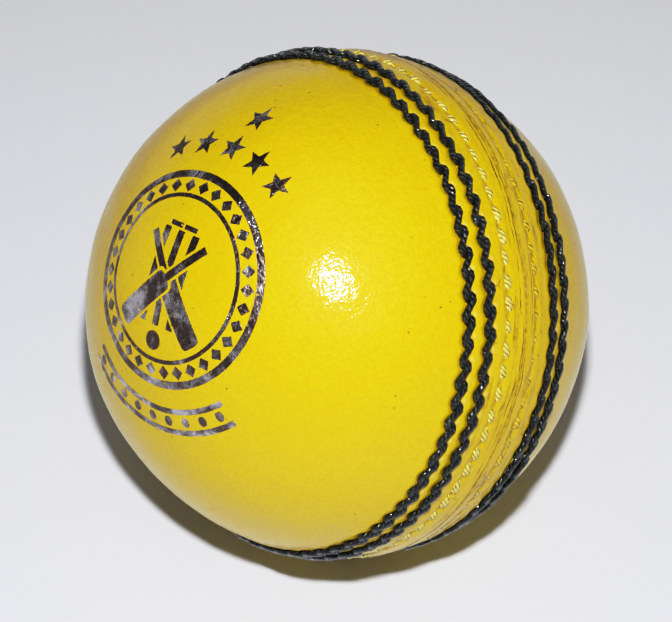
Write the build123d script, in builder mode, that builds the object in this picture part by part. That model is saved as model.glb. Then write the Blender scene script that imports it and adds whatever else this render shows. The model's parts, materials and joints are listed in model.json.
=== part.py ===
from build123d import *
import math
import os

# Cricket ball: a two-piece leather cover sewn over a wound core of cork and yarn.
#
# The origin is the ball's centre and +Z is up. The ball lies as it comes to rest,
# with its seam leaning: the seam axis runs through both leather poles, in the XZ
# plane, and points up and towards -X at the pole that carries the foil stamp.
# Sizes are in millimetres and angles in degrees.

os.makedirs("parts", exist_ok=True)

# --- Cover ---------------------------------------------------------------
ball_diameter = 72.0       # over the smooth leather, 226 mm round
leather_thickness = 4.0
seam_lean = 30.0           # seam axis above the horizontal
seam_swell = 0.45          # rise of the leather lips above the ball's round
swell_latitude = 19.0      # where the rise begins, measured from the seam plane
lip_round = 0.25           # rolled outer edge of each lip

# --- Core ----------------------------------------------------------------
nucleus_diameter = 28.0    # moulded cork and rubber
core_fit = 0.10            # between the wound core and the cover
layer_count = 5            # each a cork layer under a yarn winding
cork_layer = 1.5
layer_gap = 0.04
cork_strip_count = 6       # strips laid round one cork layer
cork_strip_gap = 0.6       # between strips, on the outside of the layer
cork_cap_radius = 4.0      # round piece that closes each end of the strips

# --- Stitching -----------------------------------------------------------
stitch_pitch = 3.0         # along the seam line
closing_row_offset = 3.0   # from the lip joint, along the leather
inner_row_offset = 6.3
outer_row_offset = 9.4
row_thread = 0.87          # thickness of the black waxed thread
row_stitch_overlap = 1.0   # length that neighbouring stitches lie side by side
stitch_gap = 0.03          # between neighbouring stitches
row_channel_depth = 0.30   # how deep the black rows sink into the leather
closing_thread = 1.0       # thickness of the yellow closing thread on the surface
closing_stitch_length = 2.3
closing_stitch_slant = 12.0     # the other way from the black rows
closing_thread_proud = 0.30
pass_thread = 0.70         # the same thread, pulled thin through the lips
pass_seat = 0.10           # between a pass and the surface stitches over it
pass_hole_clearance = 0.05
thread_seat = 0.02         # between a thread and the leather under it
channel_clearance = 0.05   # each side of a row of stitches

# --- Foil stamp ----------------------------------------------------------
foil_thickness = 0.06
foil_seat = 0.01
stamp_shift = 6.4          # from the leather pole to the middle of the stamp
stamp_bearing = 12.0       # direction of that shift, clockwise from straight up
stamp_turn = 21.0          # lean of the stamp, anticlockwise from straight up
ring_radius = 14.6
ring_line = 1.0
inner_ring_radius = 11.4
inner_ring_line = 0.55
lozenge_count = 32
lozenge_radius = 0.9
stump_height = 13.0
stump_width = 1.15
stump_spacing = 2.6
bail_length = 2.2
bail_thickness = 0.65
bat_lean = 42.0
blade_length = 10.0
blade_width = 3.0
handle_length = 7.2
handle_width = 1.1
bat_outline_gap = 0.4      # bare leather left round a bat where it crosses
badge_ball_radius = 1.3
badge_ball_drop = 8.6      # of that ball below the middle of the stamp
star_radius = 1.9
star_waist = 0.42          # inner radius of a star as a share of its outer radius
star_count = 5
star_arc_radius = 18.6
star_spread = 15.0         # between neighbouring stars, round the stamp
top_star_height = 23.2     # of the lone star above the others
bar_radius = 17.2
bar_width = 3.4
bar_line = 0.7
bar_half_spread = 42.0
bar_dot_count = 9
bar_dot_radius = 0.65

# --- Sizes that follow from those above ----------------------------------
ball_radius = ball_diameter / 2
cover_inner_radius = ball_radius - leather_thickness
nucleus_radius = nucleus_diameter / 2
layer_pair = (cover_inner_radius - core_fit - nucleus_radius) / layer_count
yarn_layer = layer_pair - cork_layer - 2 * layer_gap
stitch_count = round(math.pi * ball_diameter / stitch_pitch)

# The swollen lip is one arc, tangent to the ball at the latitude where it begins.
lip_radius = ball_radius + seam_swell
swell_shift = (lip_radius**2 - ball_radius**2) / (
    2 * (ball_radius - lip_radius * math.cos(math.radians(swell_latitude)))
)

# --- Planes and axes -----------------------------------------------------
lean = math.radians(seam_lean)
slope_up = Vector(math.sin(lean), 0, math.cos(lean))      # up the slope of the seam plane
pole = Vector(-math.cos(lean), 0, math.sin(lean))         # to the stamped leather pole
across = Vector(0, -1, 0)                                 # level, in the seam plane
seam_axis = Axis((0, 0, 0), pole)
cross_axis = Axis((0, 0, 0), across)
seam_plane = Plane(origin=(0, 0, 0), x_dir=across, z_dir=pole)
profile_plane = Plane(origin=(0, 0, 0), x_dir=slope_up, z_dir=across)   # y: along the seam axis
cross_plane = Plane(origin=(0, 0, 0), x_dir=slope_up, z_dir=-pole)      # y: along the cross axis

# The stamp is turned about the pole and then tipped over to one side of it.
shift_angle = math.degrees(stamp_shift / ball_radius)
shift_side = slope_up.rotate(seam_axis, -stamp_bearing)
shift_axis = Axis((0, 0, 0), pole.cross(shift_side))
stamp_plane = Plane(
    origin=(0, 0, 0),
    x_dir=across.rotate(seam_axis, stamp_turn).rotate(shift_axis, shift_angle),
    z_dir=pole.rotate(shift_axis, shift_angle),
)


def on_profile(radius, latitude):
    """Point of the profile plane at a distance and a latitude from the seam plane."""
    angle = math.radians(latitude)
    return (radius * math.cos(angle), radius * math.sin(angle))


def leather_radius(latitude):
    """Distance from the ball's centre to the outside of the leather."""
    if latitude >= swell_latitude:
        return ball_radius
    reach = swell_shift * math.cos(math.radians(swell_latitude - latitude))
    return math.sqrt(reach**2 + ball_radius**2 + 2 * swell_shift * ball_radius) - reach


def row_latitude(offset):
    """Latitude of a row that lies this far from the lip joint, along the leather."""
    return math.degrees(offset / ball_radius)


def save(piece, label):
    """Label one finished piece and write its file."""
    piece.part.label = label
    export_step(piece.part, f"parts/{label}.step")


# --- Core ----------------------------------------------------------------
with BuildPart() as nucleus:
    Sphere(nucleus_radius)
save(nucleus, "nucleus")


def cork_wrap(inner, axis, plane):
    """One cork layer: strips laid from end to end, with a round cap at each end."""
    outer = inner + cork_layer
    end = math.degrees(cork_cap_radius / outer)
    gap = math.degrees(cork_strip_gap / outer)
    strip_arc = 360 / cork_strip_count - gap
    cap_end = 90 - end + gap
    with BuildPart() as wrap:
        with BuildSketch(plane):
            with BuildLine():
                CenterArc((0, 0), outer, -90 + end, 180 - 2 * end)
                Line(on_profile(outer, 90 - end), on_profile(inner, 90 - end))
                CenterArc((0, 0), inner, -90 + end, 180 - 2 * end)
                Line(on_profile(inner, end - 90), on_profile(outer, end - 90))
            make_face()
        revolve(axis=axis, revolution_arc=strip_arc)
        strip = wrap.part
        for index in range(1, cork_strip_count):
            add(strip.rotate(axis, index * 360 / cork_strip_count))
        for side in (1, -1):
            with BuildSketch(plane):
                with BuildLine():
                    CenterArc((0, 0), outer, side * cap_end, side * (90 - cap_end))
                    Line((0, side * outer), (0, side * inner))
                    CenterArc((0, 0), inner, side * cap_end, side * (90 - cap_end))
                    Line(on_profile(inner, side * cap_end), on_profile(outer, side * cap_end))
                make_face()
            revolve(axis=axis)
    return wrap


def yarn_winding(inner):
    """One closed winding of yarn round everything inside it."""
    with BuildPart() as winding:
        Sphere(inner + yarn_layer)
        Sphere(inner, mode=Mode.SUBTRACT)
    return winding


layer_inner = nucleus_radius + layer_gap
for layer in range(1, layer_count + 1):
    crossed = layer % 2 == 0
    wrap_axis = cross_axis if crossed else seam_axis
    wrap_plane = cross_plane if crossed else profile_plane
    save(cork_wrap(layer_inner, wrap_axis, wrap_plane), f"cork_layer_{layer}")
    layer_inner += cork_layer + layer_gap
    save(yarn_winding(layer_inner), f"yarn_winding_{layer}")
    layer_inner += yarn_layer + layer_gap

# --- Leather cups --------------------------------------------------------
closing_latitude = row_latitude(closing_row_offset)
inner_latitude = row_latitude(inner_row_offset)
outer_latitude = row_latitude(outer_row_offset)
closing_floor = leather_radius(closing_latitude) + closing_thread_proud - closing_thread
pass_radius = closing_floor - pass_seat - pass_thread / 2
pass_hole_radius = pass_thread / 2 + pass_hole_clearance
pass_half_length = closing_row_offset


def row_pitch(latitude):
    """Distance from one stitch to the next along a row."""
    around = 2 * math.pi * leather_radius(latitude) * math.cos(math.radians(latitude))
    return around / stitch_count


def row_slant(latitude):
    """Slant that lets neighbouring stitches lie side by side."""
    return math.degrees(math.asin((row_thread + stitch_gap) / row_pitch(latitude)))


def row_stitch_length(latitude):
    """Length of one black stitch from end to end."""
    reach = row_pitch(latitude) + row_stitch_overlap
    return reach / math.cos(math.radians(row_slant(latitude)))


def swept_width(length, thread, slant):
    """Width across a row of slanted stitches."""
    return thread + (length - thread) * math.sin(math.radians(slant))


with BuildPart() as stamped_cup:
    with BuildSketch(profile_plane) as cup_profile:
        with BuildLine():
            CenterArc((0, 0), ball_radius, swell_latitude, 90 - swell_latitude)
            Line((0, ball_radius), (0, cover_inner_radius))
            CenterArc((0, 0), cover_inner_radius, 0, 90)
            Line((cover_inner_radius, 0), (lip_radius, 0))
            ThreePointArc(
                (lip_radius, 0),
                on_profile(leather_radius(swell_latitude / 2), swell_latitude / 2),
                on_profile(ball_radius, swell_latitude),
            )
        make_face()
        fillet(cup_profile.vertices().sort_by(Axis.X)[-1], lip_round)
        for latitude in (inner_latitude, outer_latitude):
            width = swept_width(row_stitch_length(latitude), row_thread, row_slant(latitude))
            with Locations(Location(on_profile(leather_radius(latitude), latitude) + (0,),
                                    (0, 0, latitude))):
                Rectangle(2 * row_channel_depth, width + 2 * channel_clearance,
                          mode=Mode.SUBTRACT)
        closing_width = swept_width(closing_stitch_length, closing_thread, closing_stitch_slant)
        closing_channel_floor = pass_radius - pass_hole_radius
        closing_channel_depth = leather_radius(closing_latitude) - closing_channel_floor
        with Locations(Location(on_profile(leather_radius(closing_latitude), closing_latitude)
                                + (0,), (0, 0, closing_latitude))):
            Rectangle(2 * closing_channel_depth, closing_width + 2 * channel_clearance,
                      mode=Mode.SUBTRACT)
    revolve(axis=seam_axis)
    with BuildSketch(seam_plane):
        with PolarLocations(pass_radius, stitch_count):
            Circle(pass_hole_radius)
    extrude(amount=pass_half_length, mode=Mode.SUBTRACT)
save(stamped_cup, "stamped_cup")

with BuildPart() as plain_cup:
    mirror(stamped_cup.part, about=seam_plane)
save(plain_cup, "plain_cup")


# --- Stitches ------------------------------------------------------------
def stitch(length, thread, slant):
    """One stitch: a round-ended length of thread along Y, turned about X by its slant."""
    with BuildPart() as piece:
        with BuildSketch(Plane.YZ):
            SlotOverall(length, thread)
            split(bisect_by=Plane.XZ)
        revolve(axis=Axis.Y)
    return piece.part.rotate(Axis.X, slant)


def stitch_row(latitude, centre_radius, length, thread, slant, phase):
    """A ring of stitches; a latitude below zero lies on the plain cup."""
    radius, height = on_profile(centre_radius, latitude)
    single = stitch(length, thread, slant)
    with BuildPart(seam_plane.offset(height)) as row:
        with PolarLocations(radius, stitch_count, start_angle=phase * 360 / stitch_count):
            add(single, rotation=(0, -latitude, 0))
    return row


for cup, side in (("stamped", 1), ("plain", -1)):
    for place, latitude in (("inner", inner_latitude), ("outer", outer_latitude)):
        seat = leather_radius(latitude) - row_channel_depth + thread_seat + row_thread / 2
        ring = stitch_row(side * latitude, seat, row_stitch_length(latitude), row_thread,
                          -row_slant(latitude), 0)
        save(ring, f"{cup}_{place}_stitches")
    seat = closing_floor + closing_thread / 2
    ring = stitch_row(side * closing_latitude, seat, closing_stitch_length, closing_thread,
                      closing_stitch_slant, 0.5)
    save(ring, f"{cup}_closing_stitches")

with BuildPart() as closing_passes:
    with BuildSketch(seam_plane.offset(-pass_half_length)):
        with PolarLocations(pass_radius, stitch_count):
            Circle(pass_thread / 2)
    extrude(amount=2 * pass_half_length)
save(closing_passes, "closing_passes")


# --- Foil stamp ----------------------------------------------------------
def bat(lean, margin, mode):
    """One bat, blade down, its middle at the middle of the stamp."""
    with Locations(Location((0, 0, 0), (0, 0, lean))):
        with Locations((0, -blade_length / 2)):
            RectangleRounded(blade_width + 2 * margin, blade_length + 2 * margin,
                             blade_width / 4, mode=mode)
        with Locations((0, handle_length / 2)):
            Rectangle(handle_width + 2 * margin, handle_length + 2 * margin, mode=mode)


def star_points():
    """Corners of one five-pointed star, with a point straight up."""
    reaches = [star_radius if corner % 2 == 0 else star_radius * star_waist
               for corner in range(10)]
    return [on_profile(reach, 90 + 36 * corner) for corner, reach in enumerate(reaches)]


with BuildPart() as foil_stamp:
    with BuildSketch(stamp_plane) as badge:
        Circle(ring_radius)
        Circle(ring_radius - ring_line, mode=Mode.SUBTRACT)
        Circle(inner_ring_radius)
        Circle(inner_ring_radius - inner_ring_line, mode=Mode.SUBTRACT)
        with PolarLocations((ring_radius - ring_line + inner_ring_radius) / 2, lozenge_count):
            RegularPolygon(lozenge_radius, 4)
        for column in (-1, 0, 1):
            with Locations((column * stump_spacing, 0)):
                Rectangle(stump_width, stump_height)
        for column in (-0.5, 0.5):
            with Locations((column * stump_spacing, stump_height / 2 + bail_thickness)):
                Rectangle(bail_length, bail_thickness)
        for lean in (bat_lean, -bat_lean):
            bat(lean, bat_outline_gap, Mode.SUBTRACT)
            bat(lean, 0, Mode.ADD)
        with Locations((0, -badge_ball_drop)):
            Circle(badge_ball_radius)
        for place in range(star_count):
            turn = (place - (star_count - 1) / 2) * star_spread
            with Locations(Location(on_profile(star_arc_radius, 90 - turn) + (0,), (0, 0, -turn))):
                Polygon(*star_points(), align=None)
        with Locations((0, top_star_height)):
            Polygon(*star_points(), align=None)
        for inner, outer in ((bar_radius, bar_radius + bar_line),
                             (bar_radius + bar_width - bar_line, bar_radius + bar_width)):
            with BuildLine():
                CenterArc((0, 0), outer, 270 - bar_half_spread, 2 * bar_half_spread)
                Line(on_profile(outer, 270 + bar_half_spread),
                     on_profile(inner, 270 + bar_half_spread))
                CenterArc((0, 0), inner, 270 - bar_half_spread, 2 * bar_half_spread)
                Line(on_profile(inner, 270 - bar_half_spread),
                     on_profile(outer, 270 - bar_half_spread))
            make_face()
        with PolarLocations(bar_radius + bar_width / 2, bar_dot_count,
                            start_angle=270 - bar_half_spread * (1 - 1 / bar_dot_count),
                            angular_range=2 * bar_half_spread * (1 - 1 / bar_dot_count),
                            endpoint=True):
            Circle(bar_dot_radius)
    extrude(amount=ball_diameter)
    Sphere(ball_radius + foil_seat + foil_thickness, mode=Mode.INTERSECT)
    Sphere(ball_radius + foil_seat, mode=Mode.SUBTRACT)
save(foil_stamp, "foil_stamp")
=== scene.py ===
"""Cricket ball: leather cover, stitched seam and foil stamp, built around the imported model.

Every mesh is shaped in the ball's own axes, with Z along the seam axis towards the
stamped pole and the seam in the XY plane, and is then turned into the row frame.
Sizes are in millimetres until a mesh is turned, which also takes it to metres.
"""
import json
import logging
import math
from dataclasses import dataclass
from enum import Enum

import bpy
import numpy as np
from mathutils import Matrix, Vector

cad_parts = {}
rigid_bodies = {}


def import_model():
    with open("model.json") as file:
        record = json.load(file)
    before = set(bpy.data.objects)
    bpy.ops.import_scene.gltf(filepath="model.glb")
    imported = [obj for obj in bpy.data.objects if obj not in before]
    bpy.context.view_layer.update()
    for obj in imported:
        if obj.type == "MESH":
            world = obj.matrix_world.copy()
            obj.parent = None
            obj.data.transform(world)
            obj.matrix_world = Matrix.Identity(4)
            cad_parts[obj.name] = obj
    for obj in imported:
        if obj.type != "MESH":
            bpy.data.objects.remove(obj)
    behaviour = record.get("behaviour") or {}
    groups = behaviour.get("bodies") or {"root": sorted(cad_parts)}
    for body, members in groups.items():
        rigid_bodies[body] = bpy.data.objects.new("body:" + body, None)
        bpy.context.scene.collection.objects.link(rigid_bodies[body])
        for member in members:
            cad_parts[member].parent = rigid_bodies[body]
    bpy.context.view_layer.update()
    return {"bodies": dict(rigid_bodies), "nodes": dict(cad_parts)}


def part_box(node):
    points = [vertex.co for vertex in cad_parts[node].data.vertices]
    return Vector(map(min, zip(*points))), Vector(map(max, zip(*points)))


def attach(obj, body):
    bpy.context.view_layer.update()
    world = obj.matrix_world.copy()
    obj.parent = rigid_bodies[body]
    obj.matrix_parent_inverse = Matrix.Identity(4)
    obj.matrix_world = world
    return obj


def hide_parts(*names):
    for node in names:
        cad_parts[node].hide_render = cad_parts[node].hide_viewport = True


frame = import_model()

LOG = logging.getLogger("cricket_ball")
MM = 0.001
BODY = next(iter(frame["bodies"]))
SEED = 11

# Leather waves: shortest and longest in millimetres, how many, and height over length.
RIPPLE_LENGTHS = (4.5, 42.0, 28)
RIPPLE_SLOPE = 0.0013

# Edges sharper than this stay crisp on a crisp piece, in degrees.
CRISP_ANGLE = 35

# Thread thickness in millimetres. The plain cup's black rows are drawn tighter.
BLACK_THREAD = 1.02
TIGHT_THREAD = 0.94
CLOSING_THREAD = 1.10
CLOSING_UNEVENNESS = 2.2


class Side(Enum):
    """The two leather cups, by the sign of their latitude."""

    STAMPED = 1
    PLAIN = -1


# --- Shared sizes --------------------------------------------------------
@dataclass(frozen=True)
class Ball:
    """Driving sizes of the ball, in millimetres and degrees."""

    radius: float = -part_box("plain_cup")[0].z / MM
    leather: float = 4.0
    seam_lean: float = 30.0
    swell: float = 0.45
    swell_latitude: float = 19.0
    stitch_count: int = 75

    def turn(self) -> Matrix:
        """Matrix from the ball's own axes, in millimetres, to the row frame, in metres."""
        lean = math.radians(self.seam_lean)
        across = Vector((0, -1, 0))
        slope_up = Vector((math.sin(lean), 0, math.cos(lean)))
        pole = Vector((-math.cos(lean), 0, math.sin(lean)))
        turned = Matrix((across, slope_up, pole)).transposed().to_4x4()
        return turned @ Matrix.Scale(MM, 4)

    def leather_radius(self, latitude: np.ndarray) -> np.ndarray:
        """Distance from the centre to the smooth leather.

        Args:
            latitude: degrees from the seam plane, either side.

        Returns:
            Radii in millimetres, with the swollen lips in them.
        """
        begin = math.radians(self.swell_latitude)
        lip = self.radius + self.swell
        shift = (lip**2 - self.radius**2) / (2 * (self.radius - lip * math.cos(begin)))
        reach = shift * np.cos(begin - np.radians(np.abs(latitude)))
        swollen = np.sqrt(reach**2 + self.radius**2 + 2 * shift * self.radius) - reach
        return np.where(np.abs(latitude) < self.swell_latitude, swollen, self.radius)

    def point(self, azimuth: np.ndarray, latitude: np.ndarray, radius: np.ndarray) -> np.ndarray:
        """Points in the ball's own axes.

        Args:
            azimuth: radians round the seam axis.
            latitude: degrees from the seam plane.
            radius: millimetres from the centre.

        Returns:
            An array of points, one row each.
        """
        lat = np.radians(latitude)
        flat = radius * np.cos(lat)
        return np.stack([flat * np.cos(azimuth), flat * np.sin(azimuth), radius * np.sin(lat)], 1)


BALL = Ball()


def ripple(directions: np.ndarray) -> np.ndarray:
    """Gentle waves of the stretched leather, in millimetres.

    Args:
        directions: unit vectors from the ball's centre, one row each.

    Returns:
        How far the leather stands above its true sphere along each of them.
    """
    rng = np.random.default_rng(SEED)
    total = np.zeros(len(directions))
    for wavelength in np.geomspace(*RIPPLE_LENGTHS):
        heading = rng.normal(size=3)
        heading /= np.linalg.norm(heading)
        phase = directions @ heading * 2 * math.pi * BALL.radius / wavelength
        total += RIPPLE_SLOPE * wavelength * np.sin(phase + rng.uniform(0, 2 * math.pi))
    return total


@dataclass(frozen=True)
class Row:
    """One row of stitches, and how each of them varies.

    Offset is from the lip joint, sway and sink are the stitch's bend to either side and
    its depth in the leather, all in millimetres, and phase is a share of the pitch.
    """

    name: str
    side: Side
    offset: float
    thread: float
    length: float
    sway: float
    sink: float
    phase: float
    seed: int

    @property
    def latitude(self) -> float:
        """Degrees from the seam plane, negative on the plain cup."""
        return self.side.value * math.degrees(self.offset / BALL.radius)

    @property
    def closing(self) -> bool:
        """Whether it is one of the two yellow rows beside the lip joint."""
        return self.thread == CLOSING_THREAD

    def draws(self) -> dict[str, np.ndarray]:
        """Small seeded differences between one stitch and the next."""
        rng = np.random.default_rng(SEED + self.seed)
        count = BALL.stitch_count
        uneven = CLOSING_UNEVENNESS if self.closing else 1.0
        return {
            "along": rng.normal(0, 0.07, count),
            "across": rng.normal(0, 0.05, count),
            "lift": rng.normal(0, 0.03, count) * uneven,
            "girth": 1 + rng.normal(0, 0.035, count) * uneven,
            "sway": 1 + rng.normal(0, 0.12, count),
            "length": 1 + rng.normal(0, 0.03, count),
        }

    def sway_at(self, along: np.ndarray) -> np.ndarray:
        """Sideways place of a stitch's middle line, for a distance along it."""
        reach = np.clip(2 * along / self.length, -1, 1)
        return -self.sway * np.sin(reach * math.pi)


ROWS = [
    Row("stamped_outer_stitches", Side.STAMPED, 9.4, BLACK_THREAD, 4.8, 0.47, 0.20, 0.0, 1),
    Row("stamped_inner_stitches", Side.STAMPED, 6.3, BLACK_THREAD, 4.8, 0.47, 0.20, 0.4, 2),
    Row("stamped_closing_stitches", Side.STAMPED, 3.0, CLOSING_THREAD, 2.9, -0.10, 0.80, 0.1, 3),
    Row("plain_closing_stitches", Side.PLAIN, 2.4, CLOSING_THREAD, 2.5, -0.08, 0.96, 0.6, 4),
    Row("plain_inner_stitches", Side.PLAIN, 6.3, TIGHT_THREAD, 4.7, 0.40, 0.20, 0.2, 5),
    Row("plain_outer_stitches", Side.PLAIN, 9.4, TIGHT_THREAD, 4.7, 0.40, 0.20, 0.7, 6),
]


# --- Mesh helpers --------------------------------------------------------
def deselect() -> None:
    """Leaves edit mode and selects nothing."""
    if bpy.context.object and bpy.context.object.mode != "OBJECT":
        bpy.ops.object.mode_set(mode="OBJECT")
    bpy.ops.object.select_all(action="DESELECT")


def take(obj: bpy.types.Object) -> bpy.types.Object:
    """Makes one object the only selected and active one."""
    deselect()
    obj.select_set(True)
    bpy.context.view_layer.objects.active = obj
    return obj


def coordinates(obj: bpy.types.Object) -> np.ndarray:
    """The vertices of a mesh object, one row each."""
    flat = np.empty(len(obj.data.vertices) * 3)
    obj.data.vertices.foreach_get("co", flat)
    return flat.reshape(-1, 3)


def place(obj: bpy.types.Object, points: np.ndarray) -> None:
    """Moves the vertices of a mesh object to new points."""
    obj.data.vertices.foreach_set("co", points.ravel())
    obj.data.update()


def attribute(obj: bpy.types.Object, name: str, values: np.ndarray) -> None:
    """Keeps one number for each vertex, for the material to read."""
    layer = obj.data.attributes.new(name, "FLOAT", "POINT")
    layer.data.foreach_set("value", values.astype(np.float32))


def lathe(name: str, profile: list[tuple[float, float]], segments: int) -> bpy.types.Object:
    """Turns a profile round Z: a ring is extruded and resized from point to point.

    Args:
        name: the object's name.
        profile: radius and height of each ring, none of them on the axis.
        segments: vertices round each ring.

    Returns:
        The object, with both ends drawn in to a point on the axis.
    """
    deselect()
    radius, height = profile[0]
    bpy.ops.mesh.primitive_circle_add(vertices=segments, radius=radius, location=(0, 0, height))
    obj = bpy.context.object
    obj.name = name
    bpy.ops.object.transform_apply(location=True, rotation=False, scale=False)
    bpy.ops.object.mode_set(mode="EDIT")
    bpy.ops.mesh.select_all(action="SELECT")
    for new_radius, new_height in profile[1:]:
        bpy.ops.mesh.extrude_region_move(
            TRANSFORM_OT_translate={"value": (0, 0, new_height - height)})
        share = new_radius / radius
        bpy.ops.transform.resize(value=(share, share, 1), center_override=(0, 0, new_height))
        radius, height = new_radius, new_height
    bpy.ops.mesh.merge(type="CENTER")
    bpy.ops.mesh.select_all(action="DESELECT")
    bpy.ops.mesh.select_non_manifold()
    bpy.ops.mesh.merge(type="CENTER")
    bpy.ops.mesh.select_all(action="SELECT")
    bpy.ops.mesh.normals_make_consistent(inside=False)
    bpy.ops.object.mode_set(mode="OBJECT")
    return obj


def settle(obj: bpy.types.Object, material: bpy.types.Material, slot: str, *nodes: str,
           crisp: bool = False) -> bpy.types.Object:
    """Turns a finished mesh into the row frame and hands it to the frame.

    Args:
        obj: the piece, shaped in the ball's own axes.
        material: its finish.
        slot: the record's material slot, not used.
        nodes: the CAD nodes that it stands for.
        crisp: keeps its edges sharp instead of shading over them.

    Returns:
        The same object.
    """
    take(obj)
    obj.data.transform(BALL.turn())
    if crisp:
        bpy.ops.object.shade_smooth_by_angle(angle=math.radians(CRISP_ANGLE))
    else:
        obj.data.shade_smooth()
    obj.data.materials.clear()
    obj.data.materials.append(material)
    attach(obj, BODY)
    if nodes:
        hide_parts(*nodes)
    LOG.info("%s: %d faces", obj.name, len(obj.data.polygons))
    return obj


# --- Material helpers ----------------------------------------------------
class Graph:
    """A small builder for one material's nodes."""

    def __init__(self, name: str) -> None:
        """Starts an empty material with a Principled surface."""
        self.material = bpy.data.materials.new(name)
        self.material.use_nodes = True
        self.tree = self.material.node_tree
        self.tree.nodes.clear()
        self.surface = self.add("ShaderNodeBsdfPrincipled")
        output = self.add("ShaderNodeOutputMaterial")
        self.link(self.surface.outputs["BSDF"], output.inputs["Surface"])

    def add(self, kind: str, **settings: object) -> bpy.types.Node:
        """Adds a node and sets its properties."""
        node = self.tree.nodes.new(kind)
        for key, value in settings.items():
            setattr(node, key, value)
        return node

    def link(self, source: bpy.types.NodeSocket, target: bpy.types.NodeSocket) -> None:
        """Joins two sockets."""
        self.tree.links.new(source, target)

    def coords(self, kind: str = "Object", scale: tuple = (1, 1, 1),
               turn: tuple = (0, 0, 0)) -> bpy.types.NodeSocket:
        """Coordinates through a Mapping node.

        Args:
            kind: output of the Texture Coordinate node.
            scale: scale of the pattern along each axis.
            turn: rotation of the pattern, in radians.

        Returns:
            The mapped vector.
        """
        source = self.add("ShaderNodeTexCoord")
        mapping = self.add("ShaderNodeMapping")
        mapping.inputs["Scale"].default_value = scale
        mapping.inputs["Rotation"].default_value = turn
        self.link(source.outputs[kind], mapping.inputs["Vector"])
        return mapping.outputs["Vector"]

    def noise(self, vector: bpy.types.NodeSocket, scale: float, detail: float = 3.0,
              rough: float = 0.5, distortion: float = 0.0) -> bpy.types.NodeSocket:
        """Noise between 0 and 1 on a vector."""
        node = self.add("ShaderNodeTexNoise")
        node.inputs["Scale"].default_value = scale
        node.inputs["Detail"].default_value = detail
        node.inputs["Roughness"].default_value = rough
        node.inputs["Distortion"].default_value = distortion
        self.link(vector, node.inputs["Vector"])
        return node.outputs["Fac"]

    def cells(self, vector: bpy.types.NodeSocket, scale: float,
              feature: str = "F1") -> bpy.types.NodeSocket:
        """Distance pattern of scattered cells."""
        node = self.add("ShaderNodeTexVoronoi", feature=feature)
        node.inputs["Scale"].default_value = scale
        self.link(vector, node.inputs["Vector"])
        return node.outputs["Distance"]

    def ramp(self, value: bpy.types.NodeSocket, low: float, high: float,
             bottom: float = 0.0, top: float = 1.0) -> bpy.types.NodeSocket:
        """Maps a range of a value smoothly onto another range."""
        node = self.add("ShaderNodeMapRange", interpolation_type="SMOOTHSTEP")
        self.link(value, node.inputs["Value"])
        for key, number in (("From Min", low), ("From Max", high),
                            ("To Min", bottom), ("To Max", top)):
            node.inputs[key].default_value = number
        return node.outputs["Result"]

    def math(self, operation: str, first: bpy.types.NodeSocket,
             second: bpy.types.NodeSocket | float) -> bpy.types.NodeSocket:
        """One arithmetic step on two values."""
        node = self.add("ShaderNodeMath", operation=operation)
        self.link(first, node.inputs[0])
        if isinstance(second, (int, float)):
            node.inputs[1].default_value = second
        else:
            self.link(second, node.inputs[1])
        return node.outputs["Value"]

    def mix(self, share: bpy.types.NodeSocket, first: bpy.types.NodeSocket | tuple,
            second: bpy.types.NodeSocket | tuple) -> bpy.types.NodeSocket:
        """Mixes two colours by a share."""
        node = self.add("ShaderNodeMix", data_type="RGBA")
        self.link(share, node.inputs["Factor"])
        for socket, colour in ((node.inputs[6], first), (node.inputs[7], second)):
            if isinstance(colour, tuple):
                socket.default_value = (*colour, 1)
            else:
                self.link(colour, socket)
        return node.outputs[2]

    def own(self, name: str) -> bpy.types.NodeSocket:
        """A number that the piece's mesh keeps for each vertex."""
        return self.add("ShaderNodeAttribute", attribute_name=name).outputs["Fac"]

    def bump(self, height: bpy.types.NodeSocket, distance: float, strength: float = 1.0,
             under: bpy.types.NodeSocket | None = None) -> bpy.types.NodeSocket:
        """A bump from a height, over another normal if one is given."""
        node = self.add("ShaderNodeBump")
        node.inputs["Strength"].default_value = strength
        node.inputs["Distance"].default_value = distance
        self.link(height, node.inputs["Height"])
        if under is not None:
            self.link(under, node.inputs["Normal"])
        return node.outputs["Normal"]

    def feed(self, **sources: object) -> None:
        """Gives sockets of the surface a source or a constant, by name."""
        for key, source in sources.items():
            socket = self.surface.inputs[key.replace("_", " ")]
            if isinstance(source, bpy.types.NodeSocket):
                self.link(source, socket)
            else:
                socket.default_value = source


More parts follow.
